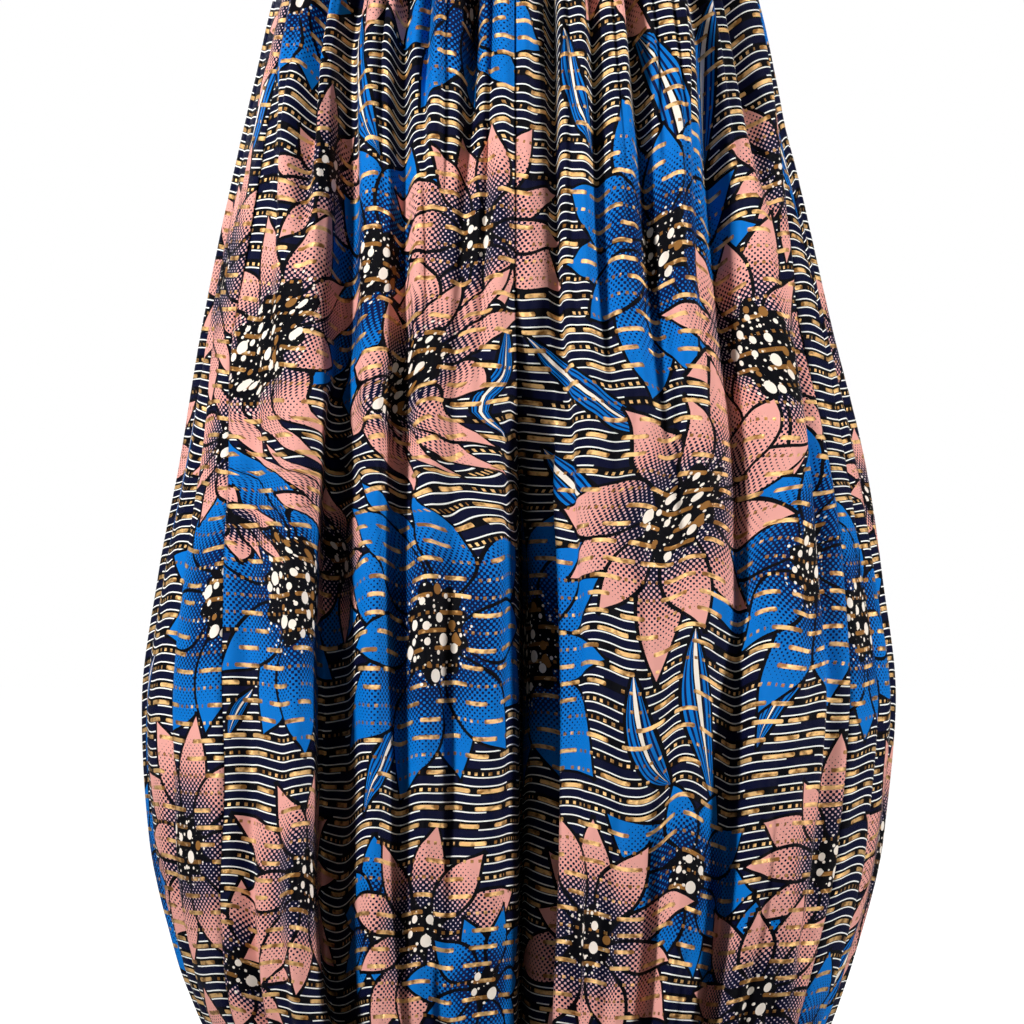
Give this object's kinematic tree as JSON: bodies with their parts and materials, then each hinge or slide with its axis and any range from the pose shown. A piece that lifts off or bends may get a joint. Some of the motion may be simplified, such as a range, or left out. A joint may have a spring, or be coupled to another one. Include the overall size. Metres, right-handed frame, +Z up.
{
  "type": "balloon jumpsuit",
  "caption": "Hollow strapped jumpsuit in its worn form: cloth gathered at an elastic waist, wide balloon legs in deep hanging folds, drawn in to elastic ankle cuffs.",
  "frame": {"origin": "centre line at the level where the shoulders carry the two straps, which is the underside of the straps at their highest point", "axes": "+Z up along the garment, -Y to the front, +X to the wearer's left"},
  "size_m": [0.5888, 0.3521, 1.4177],
  "materials": {
    "printed_cloth": "printed cotton with a slight sheen and a thin metallic print"
  },
  "bodies": {
    "root": {"bodice_front": "printed_cloth", "bodice_back": "printed_cloth", "waist_casing": "printed_cloth", "strap_left": "printed_cloth", "strap_right": "printed_cloth", "cuff_left": "printed_cloth", "cuff_right": "printed_cloth", "leg_front_left": "printed_cloth", "leg_front_right": "printed_cloth", "leg_back_left": "printed_cloth", "leg_back_right": "printed_cloth"}
  },
  "joints": []
}
